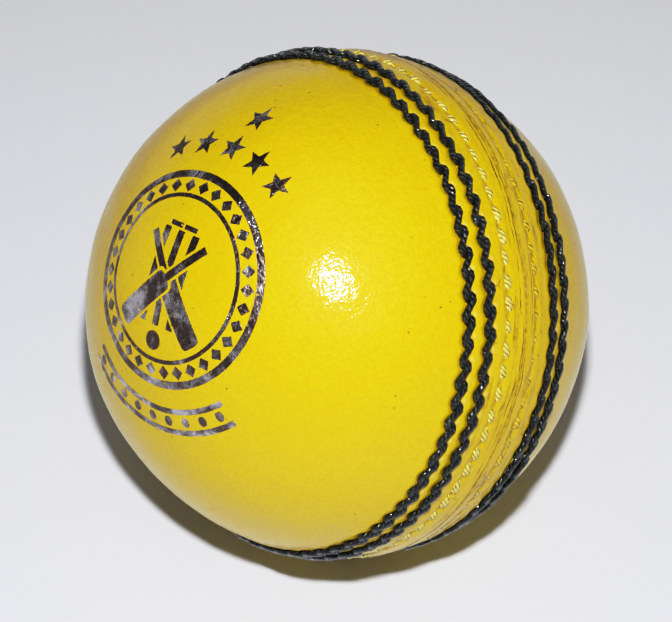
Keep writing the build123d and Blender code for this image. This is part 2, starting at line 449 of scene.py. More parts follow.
# --- Finishes ------------------------------------------------------------
@dataclass(frozen=True)
class LeatherFinish:
    """Dyed leather under a clear polish, with pores, creases and a worn lip joint."""

    name: str = "yellow_leather"
    dye: tuple = (0.61, 0.445, 0.002)
    deep_dye: tuple = (0.57, 0.37, 0.002)
    # paler colour painted as a highlight on the leather beside each stitch head
    painted_highlight_colour: tuple = (0.86, 0.74, 0.30)
    # darkest colour: real specks, cracks and smears, and painted shade beside the stitches and in
    # the joint
    grime_and_painted_shade: tuple = (0.085, 0.06, 0.012)
    polish_roughness: float = 0.125
    cracks: tuple = (0.00025, 0.00080, -0.00045, -0.0015, -0.0021)
    crack_edges: tuple = (0.00014, 0.00003)
    crack_waver: float = 0.0011
    smear_stretch: tuple = (0.13, 0.13, 1)

    @staticmethod
    def seam_coords(g: Graph) -> bpy.types.NodeSocket:
        """Coordinates with Z along the seam axis."""
        return g.coords(turn=(0, math.radians(90 - BALL.seam_lean), 0))

    def worn_joint(self, g: Graph) -> bpy.types.NodeSocket:
        """Fine dark cracks along the lip joint, from 0 to 1."""
        plain = self.seam_coords(g)
        parts = g.add("ShaderNodeSeparateXYZ")
        g.link(plain, parts.inputs["Vector"])
        waver = g.math("SUBTRACT", g.noise(plain, 160, 4, 0.6), 0.5)
        height = g.math("ADD", parts.outputs["Z"], g.math("MULTIPLY", waver, self.crack_waver))
        total = None
        for index, level in enumerate(self.cracks):
            away = g.math("ABSOLUTE", g.math("SUBTRACT", height, level), 0.0)
            line = g.ramp(away, *self.crack_edges)
            patch = g.noise(g.coords(turn=(0.3 * index, 0.4, 0.7 * index)), 130, 3)
            line = g.math("MULTIPLY", line, g.ramp(patch, 0.44, 0.60))
            total = line if total is None else g.math("MAXIMUM", total, line)
        return total

    def worn(self, g: Graph) -> bpy.types.NodeSocket:
        """The joint's cracks, and short splits in the leather beside it, from 0 to 1."""
        splits = g.ramp(g.cells(g.coords(), 300, "DISTANCE_TO_EDGE"), 0.030, 0.008)
        patch = g.ramp(g.noise(g.coords(), 240, 2), 0.60, 0.68, 0, 0.6)
        splits = g.math("MULTIPLY", g.math("MULTIPLY", splits, patch), g.own("seam"))
        return g.math("MAXIMUM", self.worn_joint(g), splits)

    def smears(self, g: Graph) -> bpy.types.NodeSocket:
        """Fine dirty streaks that run round the ball beside the seam, from 0 to 1."""
        drawn = g.add("ShaderNodeMapping")
        g.link(self.seam_coords(g), drawn.inputs["Vector"])
        drawn.inputs["Scale"].default_value = self.smear_stretch
        streak = g.ramp(g.noise(drawn.outputs["Vector"], 1150, 4, 0.62), 0.52, 0.66)
        patch = g.ramp(g.noise(g.coords(), 95, 3, 0.55), 0.36, 0.54)
        return g.math("MULTIPLY", g.math("MULTIPLY", streak, patch), g.own("seam"))

    def specks(self, g: Graph) -> bpy.types.NodeSocket:
        """A few small dark specks in the pores, from 0 to 1."""
        pores = g.ramp(g.cells(g.coords(), 560), 0.13, 0.05)
        return g.math("MULTIPLY", pores, g.ramp(g.noise(g.coords(), 150, 2, 0.5), 0.52, 0.60))

    def dyed(self, g: Graph) -> bpy.types.NodeSocket:
        """Colour of the clean leather: cloudy, finely mottled, and paler beside each stitch head as
        a painted highlight.
        """
        where = g.coords()
        cloud = g.ramp(g.noise(where, 45, 4, 0.55), 0.35, 0.7, 0, 0.25)
        colour = g.mix(cloud, self.dye, self.deep_dye)
        patchy = g.ramp(g.noise(where, 330, 3, 0.55), 0.42, 0.66, 0.05, 0.50)
        colour = g.mix(g.math("MULTIPLY", g.own("seam"), patchy), colour, self.deep_dye)
        # painted highlight: paler leather on the shoulder beside each stitch head
        colour = g.mix(g.own("painted_highlight"), colour, self.painted_highlight_colour)
        fine = g.ramp(g.noise(where, 1900, 3, 0.65), 0.38, 0.62, 0, 0.60)
        return g.mix(fine, colour, self.deep_dye)

    def dirt_and_shade(self, g: Graph, worn: bpy.types.NodeSocket) -> bpy.types.NodeSocket:
        """How dark the leather is made, from 0 to 1: real specks, cracks and smears, and painted
        shade beside the stitches and in the lip joint.
        """
        # painted shade beside the stitches and in the lip joint, where the joint is also really
        # dark
        total = g.own("dirt_and_shade")
        for mark, share in ((self.specks(g), 0.8), (worn, 0.85), (self.smears(g), 0.62)):
            total = g.math("MAXIMUM", total, g.math("MULTIPLY", mark, share))
        mottle = g.ramp(g.noise(g.coords(), 1400, 3, 0.7), 0.35, 0.65, 0.35, 1.0)
        return g.math("MULTIPLY", total, mottle)

    def build(self) -> bpy.types.Material:
        """Makes the material. Reads three vertex values: darkening with painted shade, the seam's
        spread, and a painted highlight.
        """
        g = Graph(self.name)
        worn = self.worn(g)
        # darkened by real specks, cracks and smears and by painted shade
        colour = g.mix(self.dirt_and_shade(g, worn), self.dyed(g), self.grime_and_painted_shade)
        peel = g.noise(g.coords(), 700, 3, 0.55)
        grain = g.cells(g.coords(), 2400)
        creases = g.noise(g.coords(scale=(1, 1, 0.22), turn=(0.5, 0.9, 0.2)), 300, 4, 0.62, 0.8)
        streaks = g.noise(g.coords(scale=(1, 0.10, 1), turn=(0.2, 0.5, 0.35)), 260, 3, 0.55, 0.4)
        normal = g.bump(peel, 0.00022, 0.50)
        normal = g.bump(grain, 0.00005, 0.45, normal)
        normal = g.bump(creases, 0.00016, 0.35, normal)
        normal = g.bump(worn, -0.0002, 0.8, normal)
        polish = g.bump(grain, 0.00004, 0.5, g.bump(peel, 0.00022, 0.40))
        polish = g.bump(streaks, 0.00030, 0.30, polish)
        g.feed(Base_Color=colour, Normal=normal, Roughness=0.5, Specular_IOR_Level=0.16,
               Coat_Weight=0.66, Coat_Roughness=self.polish_roughness, Coat_IOR=1.5,
               Coat_Normal=polish)
        return g.material


@dataclass(frozen=True)
class ThreadFinish:
    """Twisted waxed thread. The UV map runs along the stitch and once round it."""

    name: str
    colour: tuple
    shade: tuple
    roughness: float
    coat: float
    plies: int = 3
    turn_length: float = 2.4

    def build(self) -> bpy.types.Material:
        """Makes the material."""
        g = Graph(self.name)
        uv = g.coords("UV")
        parts = g.add("ShaderNodeSeparateXYZ")
        g.link(uv, parts.inputs["Vector"])
        along = g.math("DIVIDE", parts.outputs["X"], self.turn_length)
        phase = g.math("MULTIPLY", g.math("ADD", parts.outputs["Y"], along), self.plies)
        ply = g.math("ABSOLUTE", g.math("SINE", g.math("MULTIPLY", phase, math.pi), 0.0), 0.0)
        fibre = g.noise(g.coords(), 2600, 3, 0.6)
        wax = g.noise(g.coords(), 900, 2, 0.5)
        # painted shade: the ply grooves take the darker shade colour; the wax patches on the next
        # line are the thread's own darker tone
        colour = g.mix(g.ramp(ply, 0.0, 0.6), self.shade, self.colour)
        colour = g.mix(g.ramp(wax, 0.45, 0.75, 0, 0.4), colour, self.shade)
        normal = g.bump(ply, 0.00028, 1.0)
        normal = g.bump(fibre, 0.00030, 0.9, normal)
        g.feed(Base_Color=colour, Normal=normal,
               Roughness=g.ramp(wax, 0.3, 0.7, self.roughness, self.roughness + 0.25),
               Coat_Weight=self.coat, Coat_Roughness=0.11,
               Coat_Normal=g.bump(wax, 0.00022, 0.8, g.bump(ply, 0.00013, 1.0)))
        return g.material


@dataclass(frozen=True)
class FoilFinish:
    """Thin stamped metal foil, pressed into the leather's grain and worn through in places."""

    name: str = "stamping_foil"
    metal: tuple = (0.64, 0.61, 0.60)
    tarnish: tuple = (0.165, 0.125, 0.115)
    worn: tuple = (0.55, 0.40, 0.01)

    def build(self) -> bpy.types.Material:
        """Makes the material."""
        g = Graph(self.name)
        where = g.coords()
        wear = g.ramp(g.noise(where, 1100, 3, 0.65), 0.64, 0.72)
        dull = g.ramp(g.noise(where, 260, 4, 0.65), 0.34, 0.56)
        colour = g.mix(dull, self.metal, self.tarnish)
        colour = g.mix(wear, colour, self.worn)
        crinkle = g.noise(g.coords(scale=(1, 1, 0.35), turn=(0.4, 0.2, 0.9)), 1500, 3, 0.7)
        normal = g.bump(g.noise(where, 700, 3, 0.55), 0.00030, 0.5)
        normal = g.bump(crinkle, 0.00030, 0.75, normal)
        g.feed(Base_Color=colour, Metallic=g.ramp(wear, 0, 1, 1, 0), Normal=normal,
               Roughness=g.ramp(dull, 0, 1, 0.16, 0.34))
        return g.material


@dataclass(frozen=True)
class CorkFinish:
    """Cork: pale ground with darker grains."""

    name: str = "cork"
    ground: tuple = (0.50, 0.31, 0.16)
    grain: tuple = (0.24, 0.12, 0.055)
    grain_size: float = 420

    def build(self) -> bpy.types.Material:
        """Makes the material."""
        g = Graph(self.name)
        where = g.coords()
        cells = g.cells(where, self.grain_size)
        colour = g.mix(g.ramp(cells, 0.2, 0.75), self.ground, self.grain)
        colour = g.mix(g.ramp(g.noise(where, 1500), 0.5, 0.8, 0, 0.6), colour, self.grain)
        normal = g.bump(cells, 0.0004, 0.5)
        g.feed(Base_Color=colour, Normal=normal, Roughness=0.82)
        return g.material


@dataclass(frozen=True)
class YarnFinish:
    """Worsted yarn wound in crossing turns."""

    name: str = "yarn"
    light: tuple = (0.66, 0.59, 0.47)
    dark: tuple = (0.34, 0.28, 0.20)

    def build(self) -> bpy.types.Material:
        """Makes the material."""
        g = Graph(self.name)
        heights = []
        for turn in ((0.3, 0.2, 0.0), (1.2, -0.6, 0.5)):
            wave = g.add("ShaderNodeTexWave", wave_type="BANDS", bands_direction="Z")
            wave.inputs["Scale"].default_value = 210
            wave.inputs["Distortion"].default_value = 3
            g.link(g.coords(turn=turn), wave.inputs["Vector"])
            heights.append(wave.outputs["Fac"])
        over = g.ramp(g.noise(g.coords(), 120), 0.45, 0.55)
        mixed = g.mix(over, *heights)
        fibre = g.noise(g.coords(), 3200, 3, 0.7)
        colour = g.mix(mixed, self.dark, self.light)
        normal = g.bump(mixed, 0.0004, 0.8)
        normal = g.bump(fibre, 0.0001, 0.4, normal)
        g.feed(Base_Color=colour, Normal=normal, Roughness=0.9, Sheen_Weight=0.4)
        return g.material


@dataclass(frozen=True)
class FloorFinish:
    """Plain pale paper, painted brighter towards the back, and with a painted glow further out that
    no lamp gives.

    Its colour is painted brighter over run, and its painted glow rises over glow_run, both in
    metres.
    """

    name: str = "pale_floor"
    near: tuple = (0.78, 0.805, 0.90)
    far: tuple = (0.955, 0.965, 1.0)
    fleck: tuple = (0.70, 0.70, 0.78)
    # colour of the painted glow, which stands in for light; no lamp is here
    lamp: tuple = (0.97, 0.98, 1.0)
    glow: float = 0.42
    run: tuple = (-0.06, 0.12)
    glow_run: tuple = (0.14, 0.60)

    def build(self, azimuth: float) -> bpy.types.Material:
        """Makes the material.

        Args:
            azimuth: direction that the paper runs in, in degrees.

        Returns:
            The material.
        """
        g = Graph(self.name)
        parts = g.add("ShaderNodeSeparateXYZ")
        g.link(g.coords(turn=(0, 0, -math.radians(azimuth))), parts.inputs["Vector"])
        # painted light: the paper's colour brightens from near to far, towards the back
        back = g.ramp(parts.outputs["Y"], *self.run)
        colour = g.mix(back, self.near, self.far)
        fine = g.noise(g.coords(), 900, 3, 0.6)
        colour = g.mix(g.ramp(fine, 0.3, 0.7, 0, 0.05), colour, self.fleck)
        span = g.add("ShaderNodeVectorMath", operation="LENGTH")
        g.link(g.coords(scale=(1, 1, 0)), span.inputs[0])
        # painted glow: the floor emits light further out from the ball
        painted_glow = g.ramp(span.outputs["Value"], *self.glow_run, 0, self.glow)
        g.feed(Base_Color=colour, Roughness=0.75, Normal=g.bump(fine, 0.00005, 0.3),
               Emission_Color=(*self.lamp, 1), Emission_Strength=painted_glow)
        return g.material


# --- Cover ---------------------------------------------------------------
@dataclass(frozen=True)
class Mark:
    """What a row of stitches does to the leather under and beside it.

    Bank, rim, dip and pit are lifts and depths in millimetres, and bank_width is half the
    banked strip. The last three are shares of the finish's colours: painted shade in the
    crease beside a stitch, painted shade in the pits at its ends, and a painted highlight
    beside its head.
    """

    bank: float
    bank_width: float
    rim: float
    dip: float
    pit: float
    stitch_shade: float
    pit_shade: float
    painted_highlight: float


BLACK_MARK = Mark(bank=0.10, bank_width=1.9, rim=0.14, dip=0.30, pit=0.0, stitch_shade=0.42, pit_shade=0.0,
                  painted_highlight=0.55)
CLOSING_MARK = Mark(bank=0.05, bank_width=1.3, rim=0.0, dip=0.16, pit=0.20, stitch_shade=0.18,
                    pit_shade=0.55, painted_highlight=0.0)


@dataclass
class LeatherCup:
    """One half of the cover: smooth leather, swollen lip, and the marks of its stitches.

    Lengths are in millimetres and latitudes in degrees. Waves, the darkening and the painted
    highlight reach face_depth down the lip face. The joint's darkening, partly a real dark
    joint and partly painted shade in its groove, is its strength and width, and the seam's
    own wear is full up to seam_wear's first latitude and gone at its second.
    """

    side: Side
    rows: list[Row]
    segments: int = 750
    lip_round: float = 0.12
    half_joint: float = 0.02
    seam_end: float = 19.5
    pole: float = 88.8
    inner_latitudes: tuple = (86, 70, 54, 38, 22, 8)
    lip_depths: tuple = (2.6, 1.4, 0.7, 0.4)
    face_depth: float = 0.9
    joint_dark_and_shade: tuple = (0.85, 0.15)
    seam_wear: tuple = (7.0, 13.0)
    wander_waves: tuple = (3, 7, 13, 29, 61)
    wander_size: float = 0.15
    wander_fade: float = 2.0
    mark_reach: float = 2.6
    shoulder_place: float = 0.86
    shoulder_width: float = 0.34
    pit_width: float = 0.30
    crease: tuple = (0.40, 0.15)

    def latitudes(self) -> list[float]:
        """Latitude of each ring from the lip to the pole, close together at the seam."""
        near = list(np.linspace(0.75, self.seam_end, 52))
        far = self.seam_end + (self.pole - self.seam_end) * np.linspace(0, 1, 37)[1:] ** 0.95
        return near + list(far)

    def profile(self) -> list[tuple[float, float]]:
        """Ring radii and heights: inner face, lip face, rolled edge, then the outside."""
        inner = BALL.radius - BALL.leather
        points = []
        for latitude in self.inner_latitudes:
            angle = math.radians(latitude)
            points.append((inner * math.cos(angle), inner * math.sin(angle)))
        lip = BALL.radius + BALL.swell
        edge = self.half_joint
        points.append((inner, edge))
        points += [(lip - depth, edge) for depth in (*self.lip_depths, self.lip_round)]
        for angle in (-60, -30, 0):
            turn = math.radians(angle)
            points.append((lip - self.lip_round * (1 - math.cos(turn)),
                           edge + self.lip_round * (1 + math.sin(turn))))
        for latitude in self.latitudes():
            reach = float(BALL.leather_radius(np.array(latitude)))
            angle = math.radians(latitude)
            points.append((reach * math.cos(angle), reach * math.sin(angle)))
        return points

    def build(self, material: bpy.types.Material) -> bpy.types.Object:
        """Builds the cup, presses the stitches into it and hands it over."""
        name = "stamped_cup" if self.side is Side.STAMPED else "plain_cup"
        cup = lathe(f"{name}_leather", self.profile(), self.segments)
        points = coordinates(cup)
        points[:, 2] *= self.side.value
        radius = np.linalg.norm(points, axis=1)
        latitude = np.degrees(np.arcsin(np.clip(points[:, 2] / radius, -1, 1)))
        azimuth = np.arctan2(points[:, 1], points[:, 0])
        outside = radius > BALL.radius - self.face_depth
        lift, dirt_and_shade, painted_highlight = self.press(azimuth, latitude)
        lift = np.where(outside, lift, 0)
        direction = points / radius[:, None]
        lift = lift + ripple(direction) * outside
        points = points + direction * lift[:, None]
        fade = np.exp(-np.abs(latitude) / self.wander_fade)
        points[:, 2] += self.wander(azimuth) * fade * outside
        place(cup, points)
        if self.side is Side.PLAIN:
            cup.data.flip_normals()
        # the lip joint is darkened: partly a real dark joint, partly painted shade in its groove
        strength, width = self.joint_dark_and_shade
        joint = strength * np.exp(-(((points[:, 2] - self.wander(azimuth)) / width) ** 2))
        attribute(cup, "dirt_and_shade", np.where(outside, np.maximum(dirt_and_shade, joint), 0))
        # painted highlight beside the stitch heads, for the material
        attribute(cup, "painted_highlight", np.where(outside, painted_highlight, 0))
        full, gone = self.seam_wear
        spread = np.clip((gone - np.abs(latitude)) / (gone - full), 0, 1)
        attribute(cup, "seam", spread * outside)
        return settle(cup, material, "yellow_leather", name)

    def wander(self, azimuth: np.ndarray) -> np.ndarray:
        """How far the lip joint strays from the seam plane, in millimetres."""
        rng = np.random.default_rng(SEED)
        total = np.zeros_like(azimuth)
        for wave in self.wander_waves:
            size = rng.normal(0, self.wander_size / wave**0.6)
            total += size * np.sin(wave * azimuth + rng.uniform(0, 6.28))
        return total

    def press(self, azimuth: np.ndarray, latitude: np.ndarray) -> tuple[np.ndarray, ...]:
        """Marks that the rows of stitches leave in the leather.

        Args:
            azimuth: radians round the seam axis, for each vertex.
            latitude: degrees from the seam plane, for each vertex.

        Returns:
            Lift in millimetres, then painted shade beside the stitches and a painted highlight
            beside their heads, both between 0 and 1.
        """
        lift = np.zeros_like(azimuth)
        dirt_and_shade = np.zeros_like(azimuth)
        painted_highlight = np.zeros_like(azimuth)
        for row in self.rows:
            draws = row.draws()
            reach = BALL.radius * math.cos(math.radians(row.latitude))
            place_along = azimuth / (2 * math.pi) * BALL.stitch_count - row.phase
            across = np.radians(latitude - row.latitude) * BALL.radius
            near = np.abs(across) < self.mark_reach
            index = np.round(place_along).astype(int)
            dip = np.zeros_like(azimuth)
            rim = np.zeros_like(azimuth)
            pit = np.zeros_like(azimuth)
            half = row.length / 2
            girth = row.thread / 2
            for step in (-1, 0, 1):
                which = (index + step) % BALL.stitch_count
                gap = (place_along - index - step) * 2 * math.pi / BALL.stitch_count * reach
                along = gap - draws["along"][which]
                inside = np.clip(along, -half, half)
                middle = row.sway_at(inside) * draws["sway"][which] + draws["across"][which]
                away = np.hypot(along - inside, across - middle)
                dip = np.maximum(dip, np.exp(-((away / girth) ** 2)))
                shoulder = np.hypot(along - self.shoulder_place * half, across + row.sway + girth)
                rim = np.maximum(rim, np.exp(-((shoulder / self.shoulder_width) ** 2)))
                end = np.hypot(np.abs(along) - half, across)
                pit = np.maximum(pit, np.exp(-((end / self.pit_width) ** 2)))
            mark = CLOSING_MARK if row.closing else BLACK_MARK
            bank = np.exp(-((across / mark.bank_width) ** 4))
            change = mark.bank * bank + mark.rim * rim - mark.dip * dip - mark.pit * pit
            level, width = self.crease
            crease = np.exp(-(((dip - level) / width) ** 2))
            # painted shade in the crease beside each stitch and in the pits at its ends
            stitch_shade = np.maximum(mark.stitch_shade * crease, mark.pit_shade * pit)
            lift += np.where(near, change, 0)
            dirt_and_shade = np.maximum(dirt_and_shade, np.where(near, stitch_shade, 0))
            # painted highlight on the raised leather beside each stitch head
            painted_highlight = np.maximum(painted_highlight, np.where(near, mark.painted_highlight * rim * (1 - dip), 0))
        return lift, dirt_and_shade, painted_highlight


# --- Stitches ------------------------------------------------------------
@dataclass
class StitchRow:
    """A row of separate stitches, all copied from one and laid round the ball."""

    row: Row
    sides: int = 8
    sections: int = 9
    blunt: float = 1.01
    taper: float = 4.2
    thinnest: float = 0.10
    end_swell: float = 0.05
    bead_girth: float = 1.08
    bead_thinning: float = 0.66
    bead_span: tuple = (0.25, 0.80)
    bead_curve: float = 1.3
    dive_begins: float = 0.66
    dive_curve: float = 2.2
    black_dive: float = 0.50
    closing_dive: float = 0.45

    def template(self) -> tuple[bpy.types.Object, np.ndarray]:
        """One straight stitch along X, closed at both ends.

        Returns:
            The object, and its vertices, one row each.
        """
        deselect()
        half = self.row.length / 2
        stations = -np.cos(np.linspace(0, math.pi, self.sections)) * half
        share = np.abs(stations) / (half * self.blunt)
        girths = np.sqrt(np.clip(1 - share**self.taper, self.thinnest, 1))
        bpy.ops.mesh.primitive_circle_add(
            vertices=self.sides, radius=self.row.thread / 2 * girths[0], fill_type="NGON",
            location=(stations[0], 0, 0), rotation=(0, math.pi / 2, 0))
        obj = bpy.context.object
        bpy.ops.object.transform_apply(location=True, rotation=True, scale=True)
        bpy.ops.object.mode_set(mode="EDIT")
        bpy.ops.mesh.select_all(action="SELECT")
        for before, after, thin, thick in zip(stations, stations[1:], girths, girths[1:]):
            bpy.ops.mesh.extrude_region_move(
                TRANSFORM_OT_translate={"value": (after - before, 0, 0)})
            share = thick / thin
            bpy.ops.transform.resize(value=(1, share, share), center_override=(after, 0, 0))
        bpy.ops.mesh.select_all(action="SELECT")
        bpy.ops.mesh.normals_make_consistent(inside=False)
        bpy.ops.object.mode_set(mode="OBJECT")
        self.unwrap(obj)
        return obj, coordinates(obj)

    def unwrap(self, obj: bpy.types.Object) -> None:
        """Lays the UV map: millimetres along the stitch, and once round it."""
        for layer in list(obj.data.uv_layers):
            obj.data.uv_layers.remove(layer)
        layer = obj.data.uv_layers.new(name="thread")
        points = coordinates(obj)
        for face in obj.data.polygons:
            turns = [math.atan2(points[v, 2], points[v, 1]) / (2 * math.pi) for v in face.vertices]
            if max(turns) - min(turns) > 0.5 and len(turns) == 4:
                turns = [turn + 1 if turn < 0 else turn for turn in turns]
            for loop, vertex, turn in zip(face.loop_indices, face.vertices, turns):
                layer.data[loop].uv = (points[vertex, 0], turn)

    def laid(self, points: np.ndarray, index: int, draws: dict[str, np.ndarray]) -> np.ndarray:
        """Points of one stitch, bent and laid in its place on the leather.

        Args:
            points: the straight stitch's vertices.
            index: which stitch of the row it is.
            draws: the row's differences from stitch to stitch.

        Returns:
            The same vertices in the ball's own axes.
        """
        row = self.row
        reach = float(BALL.leather_radius(np.array(row.latitude)))
        share = np.abs(points[:, 0]) / (row.length / 2)
        swell = 1 + self.end_swell * share
        if row.closing:
            begin, end = self.bead_span
            outwards = np.clip((share - begin) / (end - begin), 0, 1)
            swell = self.bead_girth - self.bead_thinning * outwards**self.bead_curve
        swell = draws["girth"][index] * swell
        middle = row.sway_at(points[:, 0]) * draws["sway"][index]
        across = points[:, 1] * swell + middle + draws["across"][index]
        ends = np.clip((share - self.dive_begins) / (1 - self.dive_begins), 0, 1)
        dive = ends**self.dive_curve * (self.closing_dive if row.closing else self.black_dive)
        middle_height = row.thread / 2 - row.sink - dive + draws["lift"][index]
        along = points[:, 0] * draws["length"][index] + draws["along"][index]
        azimuth = (index + row.phase) * 2 * math.pi / BALL.stitch_count
        azimuth = azimuth + along / (reach * math.cos(math.radians(row.latitude)))
        latitude = row.latitude + np.degrees(across / reach)
        radius = BALL.leather_radius(latitude) + points[:, 2] * swell + middle_height
        return BALL.point(azimuth, latitude, radius)

    def build(self, material: bpy.types.Material, slot: str) -> bpy.types.Object:
        """Copies the stitch round the ball, joins the copies and hands them over."""
        template, points = self.template()
        draws = self.row.draws()
        copies = []
        for index in range(BALL.stitch_count):
            copy = bpy.data.objects.new(f"{self.row.name}_{index}", template.data.copy())
            bpy.context.scene.collection.objects.link(copy)
            place(copy, self.laid(points, index, draws))
            copies.append(copy)
        bpy.data.objects.remove(template)
        take(copies[0])
        for copy in copies:
            copy.select_set(True)
        bpy.ops.object.join()
        row = bpy.context.object
        row.name = f"{self.row.name}_thread"
        bpy.ops.object.mode_set(mode="EDIT")
        bpy.ops.mesh.select_all(action="SELECT")
        bpy.ops.mesh.normals_make_consistent(inside=False)
        bpy.ops.object.mode_set(mode="OBJECT")
        return settle(row, material, slot, self.row.name)


# --- Foil stamp ----------------------------------------------------------
PLATE_DEPTH = 0.5


@dataclass
class FoilStamp:
    """A generic badge: two rings and lozenges, crossed bats over three stumps, stars and a bar.

    Lengths are in millimetres, angles in degrees. A ring is its radius and line, a stump,
    bail, blade or handle is its width and length, the ball its radius and drop below the
    middle, and the bar its inner radius and width. The badge is cut to a lattice as far
    out as reach, and root is how far its foil goes under the leather.
    """

    shift: float = 6.4
    bearing: float = 12.0
    turn: float = 21.0
    thickness: float = 0.03
    ring: tuple = (14.6, 1.0)
    inner_ring: tuple = (11.4, 0.55)
    lozenges: int = 32
    lozenge_radius: float = 0.9
    stump: tuple = (1.15, 13.0)
    stump_spacing: float = 2.6
    bail: tuple = (2.2, 0.65)
    bat_lean: float = 42.0
    blade: tuple = (3.0, 10.0)
    handle: tuple = (1.1, 7.2)
    bare_gap: float = 0.4
    ball: tuple = (1.3, 8.6)
    star_radius: float = 1.9
    star_waist: float = 0.42
    star_arc: float = 18.6
    star_count: int = 5
    star_spread: float = 15.0
    top_star: float = 23.2
    bar: tuple = (17.2, 3.4)
    bar_line: float = 0.7
    bar_half_spread: float = 42.0
    dots: int = 9
    dot_radius: float = 0.65
    arc_step: float = 2.5
    lattice: float = 1.0
    reach: float = 27.0
    root: float = 0.12

    def plate(self, corners: list[tuple[float, float]],
              deep: float = PLATE_DEPTH) -> bpy.types.Object:
        """A flat plate with the given outline, standing equally above and below Z = 0."""
        deselect()
        bpy.ops.mesh.primitive_circle_add(vertices=len(corners), radius=1, fill_type="NGON")
        obj = bpy.context.object
        place(obj, np.array([(x, y, -deep) for x, y in corners]))
        bpy.ops.object.mode_set(mode="EDIT")
        bpy.ops.mesh.select_all(action="SELECT")
        bpy.ops.mesh.extrude_region_move(TRANSFORM_OT_translate={"value": (0, 0, 2 * deep)})
        bpy.ops.mesh.select_all(action="SELECT")
        bpy.ops.mesh.normals_make_consistent(inside=False)
        bpy.ops.object.mode_set(mode="OBJECT")
        return obj

    def band(self, inner: float, outer: float, start: float = 0.0,
             sweep: float = 360.0) -> bpy.types.Object:
        """A flat ring, or a stretch of one, round the middle of the stamp."""
        deselect()
        steps = int(sweep / self.arc_step)
        bpy.ops.mesh.primitive_plane_add(size=1)
        obj = bpy.context.object
        place(obj, np.array([(side, 0, height) for height in (-PLATE_DEPTH, PLATE_DEPTH)
                             for side in (inner, outer)]))
        obj.data.transform(Matrix.Rotation(math.radians(start), 4, "Z"))
        bpy.ops.object.mode_set(mode="EDIT")
        bpy.ops.mesh.select_all(action="SELECT")
        bpy.ops.mesh.spin(steps=steps, angle=-math.radians(sweep), center=(0, 0, 0), axis=(0, 0, 1))
        bpy.ops.mesh.select_all(action="SELECT")
        bpy.ops.mesh.remove_doubles(threshold=1e-4)
        if sweep >= 360:
            bpy.ops.mesh.select_all(action="DESELECT")
            bpy.ops.mesh.select_interior_faces()
            bpy.ops.mesh.delete(type="FACE")
        bpy.ops.mesh.select_all(action="SELECT")
        bpy.ops.mesh.normals_make_consistent(inside=False)
        bpy.ops.object.mode_set(mode="OBJECT")
        return obj

    @staticmethod
    def disc_corners(radius: float, x: float, y: float, count: int = 24) -> list:
        """Corners of a disc."""
        angles = np.linspace(0, 2 * math.pi, count, endpoint=False)
        return [(x + radius * math.cos(a), y + radius * math.sin(a)) for a in angles]

    @staticmethod
    def bar_corners(width: float, length: float, x: float, y: float, corner: float = 0.0) -> list:
        """Corners of an upright bar, rounded off if a corner radius is given."""
        w, h = width / 2, length / 2
        if corner == 0:
            return [(x - w, y - h), (x + w, y - h), (x + w, y + h), (x - w, y + h)]
        points = []
        for cx, cy, begin in ((w, h, 0), (-w, h, 90), (-w, -h, 180), (w, -h, 270)):
            mid = (cx - math.copysign(corner, cx), cy - math.copysign(corner, cy))
            for step in (0, 30, 60, 90):
                angle = math.radians(begin + step)
                points.append((x + mid[0] + corner * math.cos(angle),
                               y + mid[1] + corner * math.sin(angle)))
        return points

    @staticmethod
    def turned(corners: list, angle: float) -> list:
        """Corners turned about the middle of the stamp, in degrees."""
        c, s = math.cos(math.radians(angle)), math.sin(math.radians(angle))
        return [(c * x - s * y, s * x + c * y) for x, y in corners]

    def bat(self, lean: float, margin: float, deep: float) -> bpy.types.Object:
        """One bat as a single plate: a blade with rounded corners and a plain handle."""
        blade_w, blade_l = self.blade
        handle_w, handle_l = self.handle
        blade = self.bar_corners(blade_w + 2 * margin, blade_l + 2 * margin, 0, -blade_l / 2,
                                 blade_w / 4)
        w, top = handle_w / 2 + margin, handle_l + margin
        handle = [(w, margin), (w, top), (-w, top), (-w, margin)]
        return self.plate(self.turned(blade[:4] + handle + blade[4:], lean), deep)

    def star_corners(self, height: float, angle: float) -> list:
        """Corners of one five-pointed star, above the middle of the stamp and then turned."""
        points = []
        for corner in range(10):
            reach = self.star_radius * (1 if corner % 2 == 0 else self.star_waist)
            turn = math.radians(90 + 36 * corner)
            points.append((reach * math.cos(turn), height + reach * math.sin(turn)))
        return self.turned(points, angle)

    @staticmethod
    def cut(obj: bpy.types.Object, cutter: bpy.types.Object) -> None:
        """Takes one plate out of another."""
        take(obj)
        modifier = obj.modifiers.new("cut", "BOOLEAN")
        modifier.operation = "DIFFERENCE"
        modifier.solver = "EXACT"
        modifier.object = cutter
        bpy.ops.object.modifier_apply(modifier=modifier.name)

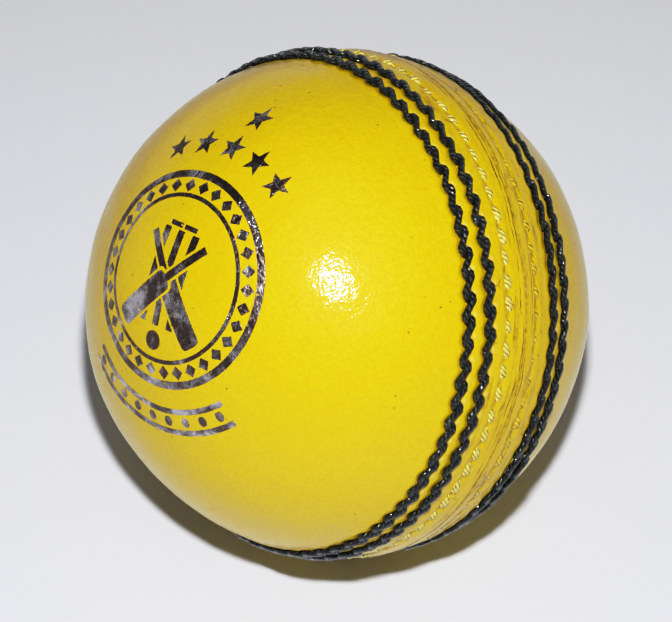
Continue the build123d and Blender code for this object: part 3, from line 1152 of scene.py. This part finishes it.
    def badge(self) -> bpy.types.Object:
        """All the plates of the badge, joined in one flat object."""
        plates = [self.plate(self.bar_corners(*self.stump, column * self.stump_spacing, 0))
                  for column in (-1, 0, 1)]
        height = self.stump[1] / 2 + self.bail[1]
        plates += [self.plate(self.bar_corners(*self.bail, column * self.stump_spacing, height))
                   for column in (-0.5, 0.5)]
        for lean in (self.bat_lean, -self.bat_lean):
            clearing = self.bat(lean, self.bare_gap, 2 * PLATE_DEPTH)
            for plate in plates:
                self.cut(plate, clearing)
            bpy.data.objects.remove(clearing)
            plates.append(self.bat(lean, 0.0, PLATE_DEPTH))
        for radius, line in (self.ring, self.inner_ring):
            plates.append(self.band(radius - line, radius))
        middle = (self.ring[0] - self.ring[1] + self.inner_ring[0]) / 2
        for index in range(self.lozenges):
            corners = self.disc_corners(self.lozenge_radius, middle, 0, 4)
            plates.append(self.plate(self.turned(corners, index * 360 / self.lozenges)))
        plates.append(self.plate(self.disc_corners(self.ball[0], 0, -self.ball[1])))
        for index in range(self.star_count):
            angle = (index - (self.star_count - 1) / 2) * self.star_spread
            plates.append(self.plate(self.star_corners(self.star_arc, angle)))
        plates.append(self.plate(self.star_corners(self.top_star, 0)))
        begin = 270 - self.bar_half_spread
        low, wide = self.bar
        for inner in (low, low + wide - self.bar_line):
            plates.append(self.band(inner, inner + self.bar_line, begin, 2 * self.bar_half_spread))
        for index in range(self.dots):
            angle = 2 * self.bar_half_spread * (index + 0.5) / self.dots - self.bar_half_spread
            corners = self.disc_corners(self.dot_radius, 0, -(low + wide / 2), 12)
            plates.append(self.plate(self.turned(corners, angle)))
        take(plates[0])
        for plate in plates:
            plate.select_set(True)
        bpy.ops.object.join()
        return bpy.context.object

    def lattice_cuts(self, obj: bpy.types.Object) -> None:
        """Cuts the flat plates into small fields, so that they can lie round the ball."""
        take(obj)
        bpy.ops.object.mode_set(mode="EDIT")
        steps = int(self.reach / self.lattice)
        for axis in ((1, 0, 0), (0, 1, 0)):
            for step in range(-steps, steps + 1):
                at = tuple(step * self.lattice * part for part in axis)
                bpy.ops.mesh.select_all(action="SELECT")
                bpy.ops.mesh.bisect(plane_co=at, plane_no=axis)
        bpy.ops.object.mode_set(mode="OBJECT")

    def build(self, material: bpy.types.Material) -> bpy.types.Object:
        """Builds the badge flat, lays it on the leather and hands it over."""
        badge = self.badge()
        badge.name = "foil_badge"
        self.lattice_cuts(badge)
        tilt = math.degrees(self.shift / BALL.radius)
        towards = math.radians(90 - self.bearing)
        axis = Vector((-math.sin(towards), math.cos(towards), 0))
        lay = Matrix.Rotation(math.radians(tilt), 3, axis) @ Matrix.Rotation(
            math.radians(self.turn), 3, "Z")
        points = coordinates(badge)
        top = points[:, 2] > 0
        rise = np.sqrt(BALL.radius**2 - points[:, 0]**2 - points[:, 1]**2)
        sphere = np.stack([points[:, 0], points[:, 1], rise], 1) / BALL.radius
        sphere = sphere @ np.array(lay).T
        level = BALL.radius + ripple(sphere) + np.where(top, self.thickness, -self.root)
        place(badge, sphere * level[:, None])
        return settle(badge, material, "stamping_foil", "foil_stamp", crisp=True)


# --- Studio --------------------------------------------------------------
@dataclass
class Studio:
    """Camera, lights and floor.

    The camera's distance is in millimetres, and its aim in shares of that distance. The key
    lamp's place is in ball radii to the right of, above and in front of the ball as the
    camera has them. A lamp is its diameter in metres and its power in watts. The room's
    strength goes from wall to ceiling between the two heights of wall_top.
    """

    azimuth: float = -32.68
    elevation: float = 48.65
    distance: float = 316.8
    lens: float = 117.9
    aim_right: float = -0.00034
    aim_up: float = -0.00352
    key_place: tuple = (0.06, 1.28, 8.3)
    key: tuple = (0.014, 0.72)
    soft_place: tuple = (0.0, 0.1, 0.9)
    soft: tuple = (0.6, 0.18)
    soft_colour: tuple = (0.97, 0.97, 1.0)
    floor_size: float = 6.0
    wall: float = 0.42
    ceiling: float = 0.085
    wall_top: tuple = (0.02, 0.42)
    room_colour: tuple = (0.90, 0.91, 1.0)
    tone: tuple = ((0.045, 0.028), (0.10, 0.102), (0.20, 0.235), (0.30, 0.44), (0.42, 0.625),
                   (0.65, 0.85))

    def axes(self) -> tuple[Vector, Vector, Vector]:
        """The camera's right, up and backward directions."""
        a, e = math.radians(self.azimuth), math.radians(self.elevation)
        back = Vector((math.sin(a) * math.cos(e), -math.cos(a) * math.cos(e), math.sin(e)))
        right = Vector((math.cos(a), math.sin(a), 0))
        return right, back.cross(right), back

    def camera(self) -> None:
        """Places the camera where the ball is seen a little above its middle."""
        right, up, back = self.axes()
        data = bpy.data.cameras.new("camera")
        data.lens = self.lens
        data.sensor_width = 36
        camera = bpy.data.objects.new("camera", data)
        bpy.context.scene.collection.objects.link(camera)
        reach = self.distance * MM
        camera.location = reach * (back + self.aim_right * right + self.aim_up * up)
        camera.rotation_mode = "QUATERNION"
        camera.rotation_quaternion = back.to_track_quat("Z", "Y")
        bpy.context.scene.camera = camera

    def lamp(self, name: str, at: Vector, size: float, power: float,
             colour: tuple = (1, 1, 1)) -> None:
        """A round lamp that faces the ball."""
        data = bpy.data.lights.new(name, "AREA")
        data.shape = "DISK"
        data.size = size
        data.energy = power
        data.color = colour
        lamp = bpy.data.objects.new(name, data)
        bpy.context.scene.collection.objects.link(lamp)
        lamp.location = at
        lamp.rotation_mode = "QUATERNION"
        lamp.rotation_quaternion = at.to_track_quat("Z", "Y")

    def lights(self) -> None:
        """A small lamp just above the camera, a soft one overhead, and a dim room."""
        right, up, back = self.axes()
        aside, above, near = (BALL.radius * MM * share for share in self.key_place)
        self.lamp("key_lamp", aside * right + above * up + near * back, *self.key)
        self.lamp("soft_lamp", Vector(self.soft_place), *self.soft, self.soft_colour)
        self.room()

    def room(self) -> None:
        """A dim room with a bright band at eye level, as of a pale wall."""
        world = bpy.data.worlds.new("room")
        bpy.context.scene.world = world
        world.use_nodes = True
        tree = world.node_tree
        ground = tree.nodes["Background"]
        ground.inputs["Color"].default_value = (*self.room_colour, 1)
        source = tree.nodes.new("ShaderNodeTexCoord")
        parts = tree.nodes.new("ShaderNodeSeparateXYZ")
        band = tree.nodes.new("ShaderNodeMapRange")
        band.interpolation_type = "SMOOTHSTEP"
        low, high = self.wall_top
        for key, number in (("From Min", low), ("From Max", high),
                            ("To Min", self.wall), ("To Max", self.ceiling)):
            band.inputs[key].default_value = number
        tree.links.new(source.outputs["Generated"], parts.inputs["Vector"])
        tree.links.new(parts.outputs["Z"], band.inputs["Value"])
        tree.links.new(band.outputs["Result"], ground.inputs["Strength"])

    def exposure(self) -> None:
        """Sets the picture's tone: deep shades held down, bright ones rolled off."""
        view = bpy.context.scene.view_settings
        view.view_transform = "Standard"
        view.use_curve_mapping = True
        combined = view.curve_mapping.curves[3]
        combined.points[0].location = (0, 0)
        combined.points[1].location = (1, 1)
        for level in self.tone:
            combined.points.new(*level)
        view.curve_mapping.update()

    def floor(self, material: bpy.types.Material) -> None:
        """A plain floor that the ball rests on."""
        deselect()
        level = -BALL.radius * MM
        bpy.ops.mesh.primitive_grid_add(size=self.floor_size, x_subdivisions=8, y_subdivisions=8,
                                        location=(0, 0, level))
        floor = bpy.context.object
        floor.name = "floor"
        bpy.ops.object.transform_apply(location=True, rotation=False, scale=False)
        floor.data.materials.append(material)


# --- Assembly ------------------------------------------------------------
def dress_core(cork: bpy.types.Material, yarn: bpy.types.Material,
               moulded: bpy.types.Material, thread: bpy.types.Material) -> None:
    """Gives each CAD node that stays its finish."""
    finishes = {"cork_layer": cork, "yarn_winding": yarn, "nucleus": moulded,
                "closing_passes": thread}
    for name, node in frame["nodes"].items():
        for start, finish in finishes.items():
            if name.startswith(start):
                node.data.materials.clear()
                node.data.materials.append(finish)
                LOG.info("%s: finish %s", name, finish.name)


def main() -> None:
    """Builds the ball, dresses it and sets the studio."""
    logging.basicConfig(level=logging.INFO, format="%(message)s")
    leather = LeatherFinish().build()
    black = ThreadFinish("black_thread", (0.012, 0.016, 0.015), (0.003, 0.004, 0.004), 0.30, 1.0)
    closing = ThreadFinish("closing_thread", (0.78, 0.68, 0.17), (0.60, 0.42, 0.03), 0.25, 0.9)
    sunk = ThreadFinish("lacquered_thread", (0.68, 0.52, 0.03), (0.58, 0.36, 0.01), 0.3, 0.8)
    black_thread = black.build()
    closing_threads = {Side.STAMPED: closing.build(), Side.PLAIN: sunk.build()}
    moulded = CorkFinish("cork_rubber", (0.16, 0.09, 0.05), (0.05, 0.03, 0.02), 700)
    dress_core(CorkFinish().build(), YarnFinish().build(), moulded.build(),
               closing_threads[Side.STAMPED])
    for side in Side:
        LeatherCup(side, [row for row in ROWS if row.side is side]).build(leather)
    for row in ROWS:
        if row.closing:
            StitchRow(row).build(closing_threads[row.side], "closing_thread")
        else:
            StitchRow(row).build(black_thread, "black_thread")
    FoilStamp().build(FoilFinish().build())
    studio = Studio()
    studio.exposure()
    studio.camera()
    studio.lights()
    studio.floor(FloorFinish().build(studio.azimuth))


if __name__ == "__main__":
    main()
